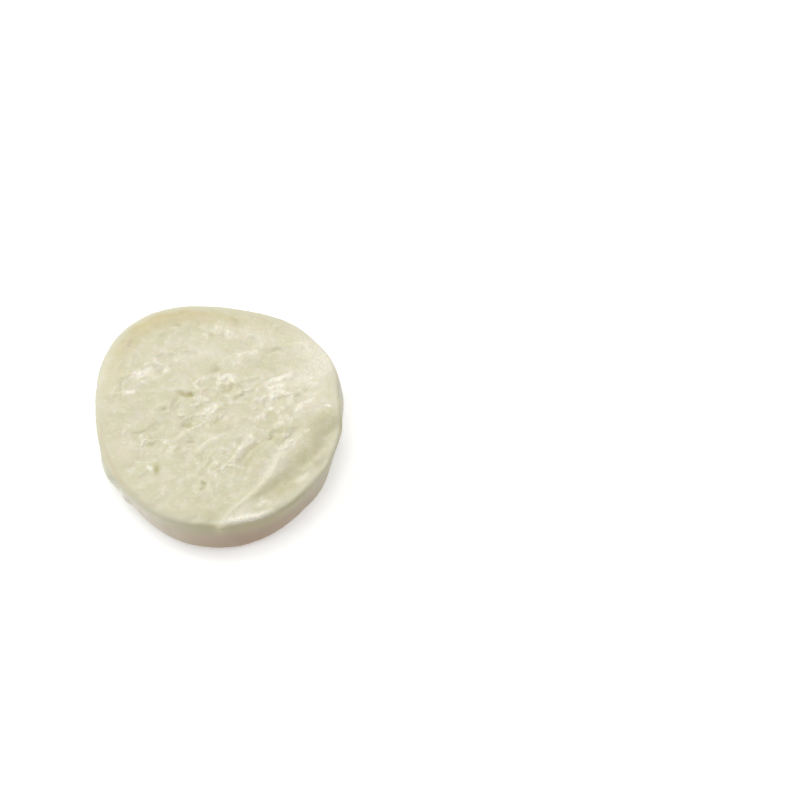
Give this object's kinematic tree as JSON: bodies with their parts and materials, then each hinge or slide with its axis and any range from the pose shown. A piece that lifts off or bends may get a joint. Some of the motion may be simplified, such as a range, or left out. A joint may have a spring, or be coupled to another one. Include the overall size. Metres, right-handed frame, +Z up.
{
  "type": "slice of a mozzarella ball",
  "caption": "Thick round slice cut from a small ball of fresh mozzarella, lying flat, with a torn upper face, a fold across one side of it and smooth skin round its edge.",
  "frame": {"origin": "on the surface that the slice lies on, under the middle of its bounding box", "axes": "+Z up, square to the two cut faces; +Y away from the edge where the fold's tongue overhangs the side; +X towards the side that the fold runs out over"},
  "size_m": [0.0666, 0.0676, 0.0132],
  "materials": {
    "curd": "moist cream-white fresh curd with a soft sheen, translucent just under its surface, yellower towards the skin"
  },
  "bodies": {
    "root": {"slice": "curd"}
  },
  "joints": []
}
